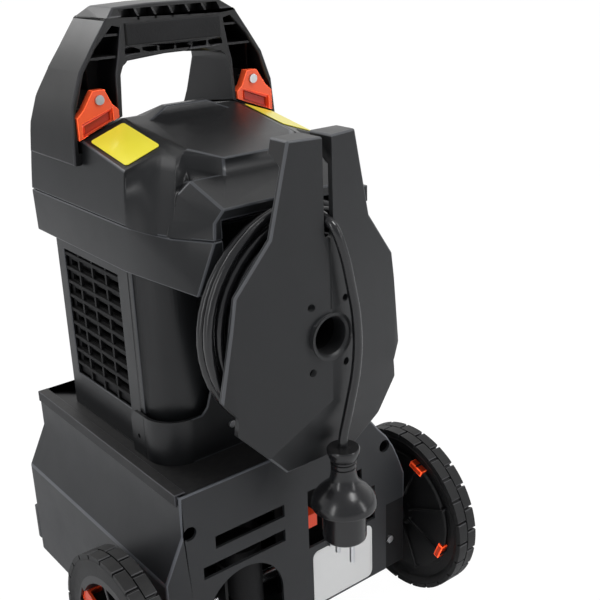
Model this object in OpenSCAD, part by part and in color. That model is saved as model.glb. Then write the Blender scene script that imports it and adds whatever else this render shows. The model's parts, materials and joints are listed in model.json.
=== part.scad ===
// Upright pressure washer on two wheels, cord wound behind a rear plate.
// Millimetres, +Z up, front faces -Y, rear (cord side) faces +Y, origin on the ground under the middle.

/* [Wheels and axle] */
// wheel radius
wheel_r = 88; // [70:1:110]
// wheel width
wheel_w = 23; // [18:1:40]
// inner face of each wheel from the middle plane
track_in = 156; // [150:1:170]
// axle position from front to back
axle_y = 81.3; // [60:0.1:100]
// axle radius
axle_r = 6; // [4:0.5:10]
// running clearance of the wheel on its axle
run_c = 0.08; // [0.05:0.01:0.3]

/* [Base] */
// underside of the base
base_bot = 46; // [30:1:70]
// top of the base walls
base_top = 228; // [200:1:260]
// half width at the top
base_hw = 119; // [100:1:140]
// half width low down
base_low = 139; // [120:1:150]
// rear face
base_rear = 108; // [90:1:130]
// front face
base_front = -163; // [-200:1:-140]
// wall thickness
wall = 3; // [2:0.5:5]

/* [Tower] */
// deck floor height
deck_z = 226; // [210:1:240]
// column radius
col_r = 38; // [30:1:45]
// column centre sideways
col_x = 60; // [50:1:65]
// column centre front to back
col_y = 16; // [0:1:30]
// underside of the band
band_bot = 400; // [380:1:420]
// parting line under the top cover
part_z = 441; // [430:1:455]
// front face of the tower
tower_front = -120; // [-140:1:-100]

/* [Cord plate] */
// ridge of the plate
plate_y = 166.3; // [155:0.1:180]
// sideways slope of the plate
plate_m = 0.19; // [0:0.01:0.4]
// plate thickness
plate_t = 5; // [3:0.5:8]
// slot half width
slot_h = 4.6; // [4:0.1:8]
// hub height
hub_z = 356.5; // [340:0.5:370]

/* [Cord] */
// cord radius
cord_r = 4.2; // [3:0.1:6]
// spacing of neighbouring turns
lay = 9.9; // [8.9:0.1:12]
// spacing of the two layers
lay_y = 9.8; // [8.9:0.1:12]

/* [Handle] */
// inner face of each arm
arm_in = 58; // [50:1:70]
// top of the handle
hand_top = 607.5; // [590:0.5:640]
// rear face of the arms
hand_rear = -40; // [-60:1:-30]

/* [Hidden] */
$fn = 48;
tyre_in = 68;
tread_r = wheel_r - 2.7;
hub_w = wheel_w + 4;
lug_a = 67.5;
tol = 0.3;
leg_in = 66;
leg_out = 86;
leg_y0 = -108;
leg_y1 = -68;
leg_bot = 236;
motor_y = -30;
motor_r = 50;
lance_x = 126;
lance_y = 42;
lance_r = 12;
// rear left end of the base, where the side curves in under the deck
cut_y = 80;
corner_x = 92;
// rear corner blocks that carry the axle
ear_x = 113.6;
ear_top = 123;
// centre of the rotary switch
switch_z = 456;
// heights on the handle, drawn for a rise of 127.5 and scaled with the real one
function up(z) = 480 + (z - 480) * (hand_top - 480) / 127.5;

module box(a, b) {
  translate(a) cube([b[0] - a[0], b[1] - a[1], b[2] - a[2]]);
}
module both() {
  children();
  mirror([1, 0, 0]) children();
}
module ycyl(r, y0, y1, x, z) {
  translate([x, y1, z]) rotate([90, 0, 0]) cylinder(r = r, h = y1 - y0);
}
module xcyl(r, x0, x1, y, z) {
  translate([x0, y, z]) rotate([0, 90, 0]) cylinder(r = r, h = x1 - x0);
}
module zcyl(r, z0, z1, x, y) {
  translate([x, y, z0]) cylinder(r = r, h = z1 - z0);
}
// a flat outline seen from the rear, given as [x, z], run from y0 to y1
module rearview(y0, y1) {
  translate([0, y1, 0]) rotate([90, 0, 0]) linear_extrude(y1 - y0) children();
}
// a flat outline seen from the side, given as [y, z], run from x0 to x1
module sideview(x0, x1) {
  translate([x0, 0, 0]) rotate([90, 0, 90]) linear_extrude(x1 - x0) children();
}

// half of a flat outline, given for +x, with its mirror image
module half_mirror(pts) {
  left = [for (i = [len(pts) - 1:-1:0]) [-pts[i][0], pts[i][1]]];
  polygon(concat(pts, left));
}

// ---------------------------------------------------------------- base
module base_section(d) {
  polygon([[base_hw - d, base_top], [base_hw - d, 190], [base_low - d, 150], [base_low - d, base_bot + d],
    [-base_low + d, base_bot + d], [-base_low + d, 150], [-base_hw + d, 190], [-base_hw + d, base_top]]);
}
module corner_section(d) {
  polygon([[base_hw - d, base_top], [base_hw - d, 190], [base_low - d, 150], [base_low - d, base_bot + d],
    [-base_low + d, base_bot + d], [-base_low + d, 150], [-131 + d, 171], [-123.6 + d, 187],
    [-115.2 + d, 200], [-104 + d, 212.4], [-corner_x + d, base_top]]);
}
module long_slot(x0, x1, z0, z1) {
  box([x0, base_rear - 12, z0], [x1, base_rear + 5, z1]);
}
module base_shell() {
  color([0.24, 0.24, 0.26]) difference() {
    union() {
      rearview(base_front, cut_y) base_section(0);
      rearview(cut_y - 1, base_rear) corner_section(0);
    }
    // hollow, open at the top where the deck closes it
    rearview(base_front + wall, cut_y - wall) base_section(wall);
    rearview(cut_y - wall - 1, base_rear - wall) corner_section(wall);
    // rear corners, filled by the axle brackets
    both() box([ear_x, base_rear - 50, base_bot - 1], [base_low + 1, base_rear + 1, ear_top]);
    // two long slots and three short ones in the rear face
    long_slot(12, 87, 164.2, 176.8);
    long_slot(12, 101, 138.4, 150.7);
    long_slot(-82, -64, 165, 177);
    long_slot(-98.8, -64, 140, 152);
    long_slot(-98.6, -64, 114, 126);
    // opening behind the plug
    long_slot(-50, -15, 117, 179);
    // round-topped cut-out low on the left
    ycyl(42, base_rear - 12, base_rear + 5, 59, 90);
    box([17, base_rear - 12, base_bot - 1], [101, base_rear + 5, 90]);
    // recessed screw holes
    both() ycyl(6.6, base_rear - 12, base_rear + 5, 111.7, 190.3);
    // outlets in the front face
    for (x = [-45, 45]) ycyl(17, base_front - 5, base_front + 12, x, 128);
    // foot sockets
    both() zcyl(13.2, base_bot - 1, base_bot + wall + 1, 108, -140);
  }
}
module base_floor() {
  color([0.15, 0.15, 0.16]) difference() {
    union() {
      // inner floor ribs standing on the base underside
      for (x = [-90, -40, 40, 90]) box([x - 1.5, -150, base_bot + wall + 0.1], [x + 1.5, 40, 71.8]);
      for (y = [-120, -40, 36]) box([-128, y - 1.5, base_bot + wall + 0.1], [128, y + 1.5, 71.8]);
      box([-32, -62, base_bot + wall + 0.1], [32, -2, 103.8]);
    }
    both() zcyl(15, base_bot, base_bot + 60, 108, -140);
  }
}
module base_rear_ribs() {
  // screw posts, the pocket wall behind the round-topped cut-out and the upright tube seen in it
  color([0.13, 0.13, 0.14]) {
    both() difference() {
      ycyl(4.2, base_rear - 50, base_rear - 32, 111.7, 190.3);
      ycyl(2.2, base_rear - 51, base_rear - 31, 111.7, 190.3);
    }
    difference() {
      union() {
        box([10, base_rear - 60, base_bot + wall + 0.1], [112, base_rear - 57, 140]);
        zcyl(21, base_bot + wall + 0.1, 140, 46, base_rear - 28);
        box([46, base_rear - 58, base_bot + wall + 0.1], [49, base_rear - 28, 140]);
      }
      xcyl(axle_r + 3, -base_low - 1, base_low + 1, axle_y, wheel_r);
    }
    box([76, base_rear - 16, base_bot + wall + 0.1], [79, base_rear - wall - 0.1, 136]);
    box([-62, base_rear - 40, base_bot + wall + 0.1], [-4, base_rear - 38, 184]);
  }
}
// bead hooked over the top of a side wall
module rim_bead(y_end) {
  box([base_hw + 0.2, base_front + 4, 219], [base_hw + 2.6, y_end, 226.5]);
  box([base_hw - 8, base_front + 4, base_top + 0.2], [base_hw + 2.6, y_end, base_top + 2]);
  box([base_hw + 0.2, base_front + 4, 226], [base_hw + 2.6, y_end, base_top + 2]);
}
module deck() {
  color([0.2, 0.2, 0.21]) difference() {
    union() {
      box([-base_hw + wall + 0.2, base_front + wall + 0.2, deck_z - 4],
        [base_hw - wall - 0.2, cut_y - wall - 0.2, deck_z]);
      box([-corner_x + wall + 0.4, cut_y - wall - 1, deck_z - 4],
        [base_hw - wall - 0.2, base_rear - wall - 0.2, deck_z]);
      rim_bead(base_rear - 3);
      mirror([1, 0, 0]) rim_bead(cut_y);
    }
    // opening under the tower for the motor and pump
    box([-88, -108, deck_z - 10], [88, 40, deck_z + 10]);
    zcyl(17, deck_z - 10, deck_z + 10, -78, -142);
  }
}

module front_bumper() {
  color([0.16, 0.16, 0.17]) difference() {
    union() {
      box([-base_low, base_front - 6.3, 58], [base_low, base_front - 0.1, 98]);
      box([-base_hw, base_front - 4, 98], [base_hw, base_front - 0.1, 106]);
    }
    for (x = [-96, -48, 0, 48, 96]) box([x - 18, base_front - 8, 70], [x + 18, base_front - 3, 86]);
  }
}
module feet() {
  color([0.06, 0.06, 0.06]) both() union() {
    zcyl(15, 0, base_bot - 0.1, 108, -140);
    zcyl(13, base_bot - 0.2, base_bot + wall + 3, 108, -140);
    zcyl(14.5, base_bot + wall + 0.1, base_bot + wall + 5, 108, -140);
  }
}

// ---------------------------------------------------------------- axle and wheels
module axle() {
  color([0.62, 0.63, 0.65]) xcyl(axle_r, -177, 177, axle_y, wheel_r);
}
module axle_brackets() {
  // rear corner blocks with a pocket open to the inside and a boss round the axle
  color([0.17, 0.17, 0.18]) both() difference() {
    union() {
      difference() {
        box([ear_x + 0.2, base_rear - 49.8, base_bot + 0.2], [base_low, base_rear - 1.5, ear_top - 0.2]);
        box([ear_x, base_rear - 46, base_bot + 4], [base_low - 4, base_rear - 8, ear_top - 4]);
      }
      xcyl(13, ear_x + 0.2, track_in - 3, axle_y, wheel_r);
    }
    xcyl(axle_r + 0.05, 110, track_in, axle_y, wheel_r);
    ycyl(2.2, base_rear - 14, base_rear, 119.2, 80.3);
  }
}
module axle_caps() {
  color([0.5, 0.5, 0.52]) both() difference() {
    union() {
      xcyl(11, 173.2, 175, axle_y, wheel_r);
      xcyl(8.5, 175, 178.2, axle_y, wheel_r);
    }
    xcyl(axle_r, 172, 177, axle_y, wheel_r);
  }
}
module tyre() {
  translate([track_in, axle_y, wheel_r]) rotate([0, 90, 0]) {
    rotate_extrude($fn = 96) polygon([[tyre_in, 8], [76, 8], [79, 2], [83, 0.4], [tread_r, 2.4],
      [tread_r, wheel_w - 2.4], [83, wheel_w], [79, wheel_w - 2], [tyre_in, wheel_w - 1]]);
    // two rows of broad blocks, half a pitch apart
    for (i = [0:23], row = [0:1]) rotate([0, 0, i * 15 + row * 7.5])
      translate([0, 0, 0.2 + row * (wheel_w / 2 + 0.4)])
        rotate_extrude(angle = 13.4, $fn = 96) translate([tread_r - 1.5, 0])
          square([wheel_r - tread_r + 1.5, wheel_w / 2 - 0.8]);
  }
}
module rim() {
  translate([track_in, axle_y, wheel_r]) rotate([0, 90, 0]) difference() {
    union() {
      // dished disc and barrel, with a deep groove between disc and tyre
      rotate_extrude($fn = 96) polygon([[10, 2.5], [64, 2.5], [64, 8], [tyre_in - 0.06, 8],
        [tyre_in - 0.06, wheel_w - 1], [61, wheel_w - 1], [61, 5], [10, 5]]);
      cylinder(r1 = 15, r2 = 24, h = 5);
      cylinder(r = 15, h = 16.4);
      // spokes stand proud on the inner side and fill the outer side to the hub
      for (a = [22.5:45:359]) rotate([0, 0, a]) {
        translate([10, -1.1, 0.6]) cube([tyre_in - 11, 2.2, 9]);
        translate([10, -2, 4]) cube([52, 4, 12.4]);
      }
    }
    translate([0, 0, -1]) cylinder(r = axle_r + run_c, h = wheel_w + 2);
    // windows for the lugs of the insert
    for (a = [lug_a:90:359]) rotate([0, 0, a]) translate([58.4, -9, -1]) cube([7.2, 18, wheel_w]);
  }
}
module hub_inserts() {
  translate([track_in, axle_y, wheel_r]) rotate([0, 90, 0]) difference() {
    union() {
      translate([0, 0, 16.7]) cylinder(r = 30, h = 2.8);
      for (a = [lug_a:90:359]) rotate([0, 0, a]) {
        translate([20, -8.6, 16.6]) cube([45.2, 17.2, 2.6]);
        translate([58.8, -8.6, 1.2]) cube([6.4, 17.2, 17]);
      }
    }
    translate([0, 0, 10]) cylinder(r = 12, h = 20);
  }
}
module tyre_left() { color([0.07, 0.07, 0.07]) tyre(); }
module tyre_right() { color([0.07, 0.07, 0.07]) mirror([1, 0, 0]) tyre(); }
module rim_left() { color([0.13, 0.13, 0.14]) rim(); }
module rim_right() { color([0.13, 0.13, 0.14]) mirror([1, 0, 0]) rim(); }
module hub_inserts_left() { color([0.86, 0.2, 0.08]) hub_inserts(); }
module hub_inserts_right() { color([0.86, 0.2, 0.08]) mirror([1, 0, 0]) hub_inserts(); }

// ---------------------------------------------------------------- tower
module tower_plan(d) {
  translate([-98 + d, tower_front + d]) square([196 - 2 * d, col_y - tower_front - d]);
  translate([-col_x, col_y - 1]) square([2 * col_x, 26 - d]);
  for (s = [-1, 1]) translate([s * col_x, col_y]) circle(r = col_r - d, $fn = 96);
}
module tower_shell() {
  color([0.15, 0.15, 0.16]) difference() {
    union() {
      translate([0, 0, deck_z + 0.2]) linear_extrude(band_bot - deck_z - 0.4) tower_plan(0);
      both() box([92, 22, 268], [99.8, 27, band_bot - 0.2]);
    }
    translate([0, 0, deck_z]) linear_extrude(band_bot) tower_plan(wall);
    both() box([90, -106, 262], [101, -2, 390]);
  }
}
module side_vents() {
  color([0.09, 0.09, 0.1]) both() {
    difference() {
      box([91, -105.7, 262.3], [94, -2.3, 389.7]);
      for (z = [276:14:376]) box([90, -100, z], [95, -8, z + 6]);
    }
    for (z = [272:14:386]) box([93.9, -105.7, z], [97, -2.3, z + 3]);
    for (y = [-80, -54, -28]) box([93.9, y - 1.5, 262.3], [96.5, y + 1.5, 389.7]);
  }
}
module collar_plan(d) {
  translate([-104 + d, 8]) square([208 - 2 * d, 22.2]);
  translate([-74, 29]) square([148, 35 - d]);
  for (s = [-1, 1]) translate([s * 74, 34]) circle(r = 30 - d, $fn = 72);
}
module rear_collar() {
  color([0.17, 0.17, 0.18]) difference() {
    union() {
      translate([0, 0, deck_z + 0.2]) linear_extrude(42) difference() {
        collar_plan(0);
        collar_plan(3);
        translate([-110, -5]) square([220, 13.2]);
      }
      // taller middle that carries the cord holder
      rearview(61, 64) half_mirror([[66, 266], [58, 274], [50, 300], [50, 332]]);
      both() box([66, 60, 236], [74, 62, 262]);
    }
    // rounded ends of the band
    both() translate([90, 8, deck_z]) difference() {
      translate([0, -1, 30]) cube([20, 15, 20]);
      rotate([0, 90, 0]) translate([-30, 14, -1]) cylinder(r = 14, h = 22);
    }
    // cord gland hole and column screws
    ycyl(6.2, 50, 70, -14, 262);
    both() ycyl(2.2, 55, 70, 34, 250);
    both() xcyl(2.2, 95, 110, 20, 245);
  }
}
module band_face(z, pts) {
  translate([0, 0, z]) linear_extrude(0.4) half_mirror(pts);
}
module tower_band() {
  color([0.15, 0.15, 0.16]) difference() {
    hull() {
      band_face(band_bot, [[102, -150], [103, 24], [99.6, 56], [96.4, 84], [94.4, 99.5], [92.6, 118]]);
      band_face(part_z - 0.6, [[103, -150], [103, 28], [99, 56], [93, 84], [84.5, 99.5], [74, 118]]);
    }
    box([-93, -146, band_bot - 1], [93, 50, part_z + 1]);
    box([-70, 49, band_bot - 1], [70, 74, part_z + 1]);
    box([-66, 80, band_bot - 1], [66, 120, part_z + 1]);
  }
}
// shoulder under a handle arm, falling away to the rear, the side and the front
slope_x = -0.35;
slope_y = -0.179;
slope_front = 0.137;
slope_0 = 500.6 - 63 * slope_x - 29 * slope_y;
function shoulder_z(x, y) = slope_0 + slope_x * x
  + (y > -40 ? slope_y * y : slope_front * (y + 40) - 40 * slope_y);
// the wall's foot on the parting line and its rim on the slope, point against point
wall_foot = [[103, 30], [102.4, 45], [100.6, 59], [97, 71], [93, 84], [90.5, 88]];
wall_rim = [[100.4, 33], [91, 34], [81.5, 35], [70.7, 36.5], [65.2, 50], [64, 54]];
function flowing(p) = [for (k = [0:15]) let (i = floor(k / 3)) k == 15 ? p[5] : spline(p, i, k / 3 - i)];
module shoulder(lift) {
  foot = concat([[50, -150], [103, -150], [103, -40]], flowing(wall_foot), [[50, 62], [50, -40]]);
  rim = concat([[57.4, -148.8], [98.5, -148.8], [98.5, -40]], flowing(wall_rim), [[57.4, 54], [57.4, -40]]);
  n = len(foot);
  rows = 5;
  pts = [for (i = [0:rows], j = [0:n - 1])
    let (t = i / rows, p = lerp(foot[j], rim[j], t * (0.75 + 0.25 * t)))
    [p[0], p[1], lerp(part_z, shoulder_z(rim[j][0], rim[j][1]) + lift, t)]];
  walls = [for (i = [0:rows - 1], j = [0:n - 1], half = [0, 1]) let (k = (j + 1) % n)
    half == 0 ? [i * n + j, i * n + n + j, i * n + n + k] : [i * n + j, i * n + n + k, i * n + k]];
  floor_face = [for (j = [0:n - 1]) j];
  front_top = [for (j = [n - 1, 2, 1, 0]) rows * n + j];
  rear_top = [for (j = [n - 1:-1:2]) rows * n + j];
  polyhedron(pts, concat(walls, [floor_face, front_top, rear_top]));
}
module top_cover() {
  color([0.16, 0.16, 0.17]) difference() {
    union() {
      // sloping roof over the cord
      hull() {
        band_face(part_z, [[80, 60], [93, 84], [84.5, 99.5], [74, 118]]);
        both() for (p = [[73, 117.9, 455.5], [64, 117.9, 464.6], [66.8, 77, 480.5], [60, 58, 475],
          [77.1, 74.6, 471.5], [62, 60, 476]]) translate(p) cube(0.1);
      }
      both() shoulder(0);
      // lower roof between the arms
      hull() {
        band_face(part_z, [[56, -149], [56, -30]]);
        band_face(486.6, [[56, -148], [56, -147]]);
        band_face(505, [[56, -42], [56, -30]]);
      }
      // hump between the ridges
      hull() {
        band_face(460, [[58, -40], [58, -16], [62, 46], [61.5, 52], [52, 53.5], [36, 80]]);
        band_face(494.1, [[36, 79.6], [36, 80]]);
        band_face(499.6, [[52, 53.1], [52, 53.5]]);
        band_face(496.2, [[61.9, 46], [61.4, 52]]);
        band_face(514.2, [[57.6, -40], [57.6, -36]]);
      }
      // raised bridge in front of the hump
      hull() {
        band_face(500, [[50, -58], [50, -18]]);
        band_face(508.6, [[50, -54], [50, -20]]);
        band_face(521.6, [[21, -36], [21, -27]]);
      }
    }
    // hollow inside
    box([-93, -146, part_z - 1], [93, 28, 476]);
    box([-60, -54, 470], [60, 46, 490]);
    box([-66, 80, part_z - 1], [66, 120, 456]);
    box([-70, 27, part_z - 1], [70, 74, 462]);
    // slots for the handle legs
    both() box([leg_in - 0.2, leg_y0 - 0.2, 470], [leg_out + 0.2, leg_y1 + 0.2, 530]);
    // switch opening in the front
    ycyl(7, -160, -130, 0, switch_z);
  }
}
module shoulder_labels() {
  // one plain yellow label on each shoulder slope
  color([0.95, 0.83, 0.12]) both() translate([63, 29, 501]) rotate([-10.17, 19.29, 0]) linear_extrude(0.5)
    polygon([[0, 0], [-3.7, -60], [31, -60], [34.6, 0]]);
}

// ---------------------------------------------------------------- front panel and switch
module front_panel() {
  color([0.11, 0.11, 0.12]) difference() {
    union() {
      box([-66, -154.5, 420], [66, -150.2, 486.4]);
      ycyl(30, -157, -154.5, 0, switch_z);
    }
    ycyl(5.6, -160, -145, 0, switch_z);
    for (x = [-54, 54], z = [430, 476]) ycyl(2, -160, -145, x, z);
  }
}
module panel_dial() {
  color([0.85, 0.85, 0.83]) difference() {
    ycyl(29, -157.6, -157.1, 0, switch_z);
    ycyl(6, -160, -150, 0, switch_z);
  }
}
module switch_knob() {
  color([0.86, 0.2, 0.08]) {
    ycyl(20, -163, -158, 0, switch_z);
    hull() {
      box([-4.5, -169.3, switch_z - 18], [4.5, -162, switch_z + 18]);
      box([-6.5, -163, switch_z - 19], [6.5, -162, switch_z + 19]);
    }
    ycyl(5.5, -158.5, -138, 0, switch_z);
  }
}
module switch_box() {
  color([0.1, 0.1, 0.11]) difference() {
    box([-22, -145.7, switch_z - 14], [22, -112, switch_z + 15]);
    ycyl(6, -146, -136, 0, switch_z);
  }
}

// ---------------------------------------------------------------- cord holder
module plate_outline() {
  polygon([[33, 518.4], [50, 445.8], [81, 405.3], [94.6, 320.2], [83.2, 305.2], [85, 289.7], [36.7, 237.2],
    [-36.7, 237.2], [-85, 289.7], [-83.2, 305.2], [-94.6, 320.2], [-81, 405.3], [-50, 445.8], [-33, 518.4]]);
}
module plate_solid(d) {
  // shallow V across, folded in towards the machine low down
  intersection() {
    translate([0, 0, 200]) linear_extrude(340) polygon([[0, plate_y - d], [84, plate_y - d - 84 * plate_m],
      [104, plate_y - d - 84 * plate_m - 10], [104, 100], [-104, 100],
      [-104, plate_y - d - 84 * plate_m - 10],
      [-84, plate_y - d - 84 * plate_m]]);
    sideview(-110, 110) polygon([[100, 200], [plate_y - d - 29, 200], [plate_y - d, 300], [plate_y - d, 540],
      [100, 540]]);
  }
}
module cord_plate() {
  color([0.2, 0.2, 0.21]) difference() {
    union() {
      intersection() {
        rearview(100, 175) plate_outline();
        union() {
          difference() {
            plate_solid(0);
            plate_solid(plate_t);
          }
          // the prongs end in a hook that points at the machine
          intersection() {
            plate_solid(1);
            sideview(-60, 60) polygon([[157, 496], [146, 505], [138, 507], [138, 519], [170, 519],
              [170, 496]]);
          }
        }
      }
      ycyl(20.4, 150.3, 167.6, 0, hub_z);
      for (x = [-17.5, 17.5], z = [-28, 28]) ycyl(6.5, 150.3, 160, x, hub_z + z);
      both() box([50, 150.3, 340], [53, 156, 376]);
    }
    ycyl(15.8, 140, 180, 0, hub_z);
    translate([0, 168.4, hub_z]) rotate([90, 0, 0]) cylinder(r1 = 19, r2 = 15.8, h = 3.5);
    for (x = [-17.5, 17.5], z = [-28, 28]) {
      ycyl(3.3, 154, 180, x, hub_z + z);
      ycyl(1.8, 140, 156, x, hub_z + z);
    }
    box([-slot_h, 100, 443], [slot_h, 190, 530]);
    ycyl(slot_h, 100, 190, 0, 443);
    // way in behind the slot
    box([-30, 100, 430], [30, 157, 472]);
    // groove running from the slot down to the hub
    box([-1, plate_y - 1.2, 380], [1, 180, 444]);
  }
}
module cord_drum() {
  color([0.14, 0.14, 0.15]) difference() {
    union() {
      ycyl(54, 114, 150.1, 0, 364);
      ycyl(70, 110, 114, 0, 364);
      box([-42, 64.2, 300], [42, 112, 392]);
    }
    ycyl(16, 90, 160, 0, hub_z);
    for (x = [-17.5, 17.5], z = [-28, 28]) ycyl(1.7, 130, 160, x, hub_z + z);
    box([-36, 60, 306], [36, 108, 334]);
  }
}
module plate_screws() {
  color([0.55, 0.56, 0.58]) for (x = [-17.5, 17.5], z = [-28, 28]) {
    ycyl(3.1, 154.1, 156.6, x, hub_z + z);
    ycyl(1.65, 134, 154.2, x, hub_z + z);
  }
}
module cover_screws() {
  color([0.75, 0.76, 0.78]) both() {
    ycyl(3.4, 64.1, 66, 34, 250);
    ycyl(2.1, 52, 64.2, 34, 250);
    ycyl(3.6, base_rear - 31.9, base_rear - 29.4, 111.7, 190.3);
    ycyl(2.1, base_rear - 46, base_rear - 31.8, 111.7, 190.3);
    ycyl(4, base_rear - 1.4, base_rear + 0.6, 119.2, 80.3);
    ycyl(2.1, base_rear - 12, base_rear - 1.3, 119.2, 80.3);
  }
}
module cord_gland() {
  color([0.06, 0.06, 0.06]) translate([-14, 0, 262]) difference() {
    union() {
      ycyl(6.1, 58, 66, 0, 0);
      ycyl(8.6, 64.1, 69, 0, 0);
      ycyl(8.6, 57, 60.9, 0, 0);
      translate([0, 69, 0]) rotate([-90, 0, 0]) cylinder(r1 = 7.4, r2 = 5.2, h = 26);
    }
    for (y = [73:5:92]) translate([0, y, 0]) difference() {
      ycyl(9, 0, 1.6, 0, 0);
      ycyl(4.8, -1, 3, 0, 0);
    }
  }
}

// ---------------------------------------------------------------- handle
module handle_arch() {
  difference() {
    half_mirror([[108, 480], [107, up(499)], [104, up(530)], [94, up(557)], [81, up(576)], [67, up(595.5)],
      [54, up(606)], [20, hand_top]]);
    half_mirror([[arm_in, 479], [arm_in, up(517.2)], [56, up(551)], [53, up(558)], [48, up(561.6)],
      [10, up(564.4)]]);
  }
}
module channel() {
  polygon([[62, up(519.5)], [60.5, up(552)], [57, up(566)], [52, up(590)], [60, up(592)], [77, up(574)],
    [90, up(555)], [99, up(529)], [102, up(504.5)]]);
}
module handle_frame() {
  color([0.08, 0.08, 0.085]) difference() {
    union() {
      difference() {
        intersection() {
          rearview(-130, hand_rear) handle_arch();
          sideview(-110, 110) polygon([[hand_rear, 480], [hand_rear, up(598)], [-50, hand_top + 1],
            [-88, hand_top + 1], [-98, up(598)], [-100, up(556)], [-126, up(508)], [-130, 480]]);
        }
        // underside lies just clear of the shoulders
        both() shoulder(1.2);
        // open channel on the rear of each arm
        both() rearview(-74, hand_rear + 1) channel();
        both() rearview(-47, hand_rear + 1) polygon([[62, 490], [62, up(545)], [88, up(545)], [100, up(529)],
          [102.6, up(521)], [102.6, 490]]);
        // room behind the latch button
        both() rearview(-58, hand_rear + 1) polygon([[68.4, up(500)], [68.4, up(524.8)], [97.6, up(515)],
          [97.6, up(490)]]);
      }
      both() intersection() {
        rearview(-74.5, hand_rear - 3) channel();
        union() {
          box([50, -75, up(583)], [70, -43, up(585)]);
          box([55, -75, up(565)], [92, -43, up(567)]);
          box([82, -75, up(540)], [84, -50, up(566)]);
        }
      }
      // legs that slide in the tower
      both() box([leg_in, leg_y0, leg_bot], [leg_out, leg_y1, up(522)]);
    }
    both() box([leg_in + 3, leg_y0 + 3, leg_bot - 1], [leg_out - 3, leg_y1 - 3, 500]);
    // pockets above and below the grip
    for (i = [-3:2]) {
      box([i * 17 + 1, -54, up(594.5)], [i * 17 + 16, hand_rear + 1, up(604)]);
      box([i * 17 + 1, -54, up(567.5)], [i * 17 + 16, hand_rear + 1, up(572)]);
    }
    // seats for the soft grip
    box([-48, -43, up(574.5)], [48, hand_rear + 1, up(592.5)]);
    box([-48, -104, up(574.5)], [48, -96, up(592.5)]);
  }
}
module handle_grip() {
  color([0.3, 0.3, 0.31]) {
    box([-47.9, -42.9, up(574.5) + 0.1], [47.9, -37.6, up(592.5) - 0.1]);
    box([-47.9, -102, up(574.5) + 0.1], [47.9, -96.1, up(592.5) - 0.1]);
  }
}
module handle_guides() {
  color([0.12, 0.12, 0.13]) both() difference() {
    union() {
      box([leg_in - 2.6, leg_y0 - 2.6, 230], [leg_out + 1.9, leg_y1 + 2.6, 398]);
      box([leg_in - 2.6, leg_y0 - 2.6, 392], [94.9, leg_y1 + 2.6, 398]);
    }
    box([leg_in - 0.1, leg_y0 - 0.1, 232], [leg_out + 0.1, leg_y1 + 0.1, 399]);
  }
}
module latch_face() {
  polygon([[62.4, up(516)], [62.4, up(523)], [68, up(528)], [74, up(541)], [85, up(541)], [95, up(526)],
    [101.6, up(520)], [101.6, up(501.2)]]);
}
module latch_window(d) {
  polygon([[70 + d, up(514.8) + d], [96 - d, up(504.8) + d], [96 - d, up(513) - d], [70 + d, up(523) - d]]);
}
module latch_plates() {
  color([0.87, 0.2, 0.07]) both() difference() {
    rearview(-46, -37.6) latch_face();
    rearview(-48, -37) latch_window(0);
    ycyl(1.9, -48, -36, 80, up(533));
    rearview(-39.4, -37) difference() {
      latch_window(-2);
      latch_window(-0.01);
    }
  }
}
module latch_button(s) {
  scale([s, 1, 1]) {
    rearview(-50, -40.5) latch_window(0.4);
    rearview(-52, -50) latch_window(-0.8);
  }
}
module latch_button_left() { color([0.8, 0.13, 0.05]) latch_button(1); }
module latch_button_right() {
  color([0.8, 0.13, 0.05]) mirror([1, 0, 0]) latch_button(1);
}
module latch_screws() {
  color([0.75, 0.76, 0.78]) both() {
    ycyl(4.2, -37.5, -35.6, 80, up(533));
    ycyl(1.85, -60, -37.4, 80, up(533));
  }
}

// ---------------------------------------------------------------- motor and pump
module motor_housing() {
  color([0.45, 0.46, 0.48]) translate([0, motor_y, 0]) difference() {
    union() {
      zcyl(motor_r, 250, 368, 0, 0);
      for (a = [0:30:359]) rotate([0, 0, a]) box([motor_r - 1, -1.5, 262], [motor_r + 3, 1.5, 356]);
    }
    zcyl(motor_r - 3, 254, 364, 0, 0);
    zcyl(6.08, 240, 380, 0, 0);
  }
}
module motor_shaft() {
  color([0.6, 0.61, 0.63]) {
    zcyl(6, 217, 392, 0, motor_y);
    zcyl(34, 268, 350, 0, motor_y);
  }
}
module motor_fan() {
  color([0.1, 0.1, 0.11]) translate([0, motor_y, 0]) difference() {
    union() {
      zcyl(14, 374, 390, 0, 0);
      zcyl(42, 374, 376, 0, 0);
      for (a = [0:45:359]) rotate([0, 0, a]) box([10, -1, 375], [41, 1, 388]);
    }
    zcyl(6, 370, 395, 0, 0);
  }
}
module gear_housing() {
  color([0.55, 0.56, 0.58]) translate([0, motor_y, 0]) difference() {
    union() {
      zcyl(42, 196.2, 249.8, 0, 0);
      zcyl(47, 243, 249.8, 0, 0);
    }
    zcyl(36, 196, 243, 0, 0);
    zcyl(6.08, 230, 260, 0, 0);
  }
}
module wobble_plate() {
  color([0.7, 0.7, 0.72]) translate([0, motor_y, 220]) difference() {
    union() {
      rotate([8, 0, 0]) cylinder(r = 29, h = 7, center = true);
      cylinder(r = 12, h = 10);
    }
    translate([0, 0, -3]) cylinder(r = 6, h = 30);
  }
}
module pistons() {
  color([0.8, 0.81, 0.83]) for (a = [0:120:359]) translate([0, motor_y, 0]) rotate([0, 0, a]) {
    zcyl(6, 150, 208, 20, 0);
    zcyl(8, 208, 212.2, 20, 0);
  }
}
module pump_head() {
  color([0.72, 0.73, 0.75]) difference() {
    union() {
      zcyl(40, 134, 196, 0, motor_y);
      box([-34, -64, 104], [34, 0, 136]);
      ycyl(13, -80, -60, 45 - 20, 118);
      ycyl(13, -80, -60, -45 + 20, 118);
    }
    for (a = [0:120:359]) translate([0, motor_y, 0]) rotate([0, 0, a]) zcyl(6.05, 146, 200, 20, 0);
    ycyl(6, -90, -50, 25, 118);
    ycyl(6, -90, -50, -25, 118);
  }
}
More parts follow.
